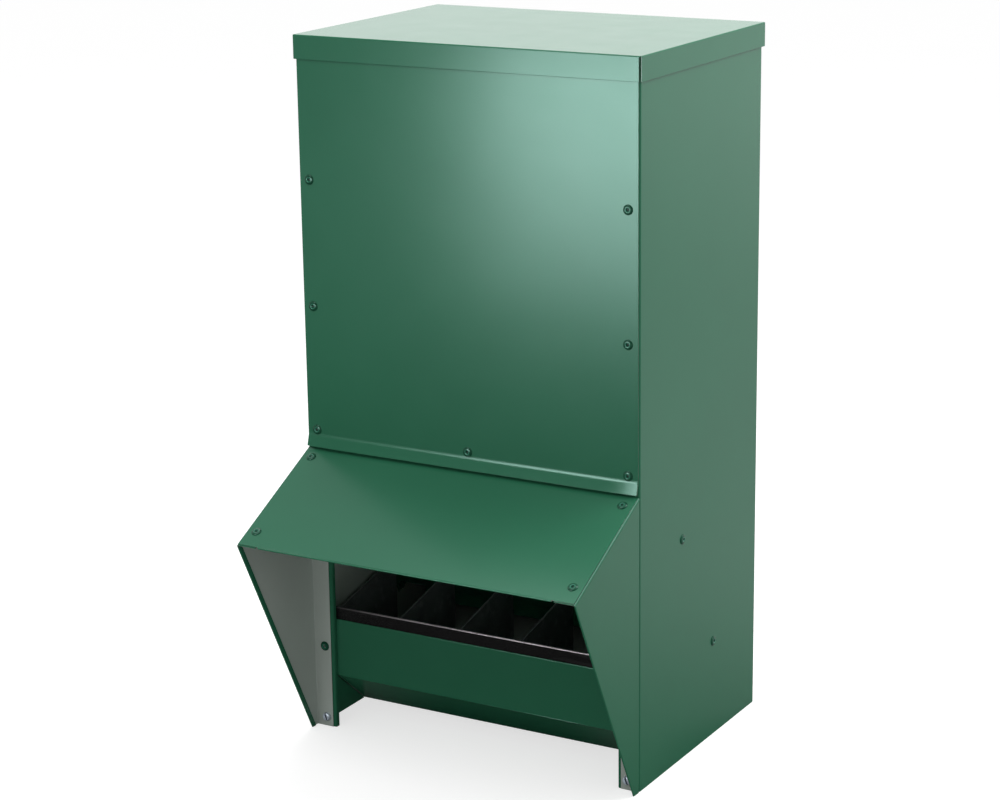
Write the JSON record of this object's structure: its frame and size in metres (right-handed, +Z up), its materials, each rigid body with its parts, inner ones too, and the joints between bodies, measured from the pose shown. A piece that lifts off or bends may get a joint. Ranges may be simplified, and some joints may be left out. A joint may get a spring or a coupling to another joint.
{
  "type": "chicken feeder",
  "caption": "Gravity feed hopper of folded green sheet steel with a lift-off lid, a sloping rain hood with side wings, and a low trough divided into bays.",
  "frame": {"origin": "centre of the outline's base, on the floor", "axes": "+Z up, -Y towards the front where the hens feed, +X to the right of a viewer facing the front"},
  "size_m": [0.3028, 0.3212, 0.5735],
  "materials": {
    "green_coat": "satin green coating outside, grey inside",
    "rivet_coat": "satin green coating on blind rivet heads",
    "black_plastic": "moulded black plastic, slightly glossy",
    "zinc": "zinc plated steel"
  },
  "bodies": {
    "case": {"right_side_panel": "green_coat", "left_side_panel": "green_coat", "front_panel": "green_coat", "back_panel": "green_coat", "rain_hood": "green_coat", "right_wing": "green_coat", "left_wing": "green_coat", "feed_baffle": "green_coat", "trough": "green_coat", "right_trough_bracket": "green_coat", "left_trough_bracket": "green_coat", "trough_liner": "black_plastic", "divider_1": "black_plastic", "divider_2": "black_plastic", "divider_3": "black_plastic", "divider_4": "black_plastic", "front_rivets": "rivet_coat", "back_rivets": "rivet_coat", "hood_rivets": "rivet_coat", "wing_rivets": "rivet_coat", "side_rivets": "rivet_coat", "leg_screws": "zinc", "leg_nuts": "zinc"},
    "lid": {"lid": "green_coat"}
  },
  "joints": [
    {"name": "lid_lift", "type": "slide", "parent": "case", "child": "lid", "axis": [0, 0, 1], "range_m": [0, 0.06]}
  ]
}
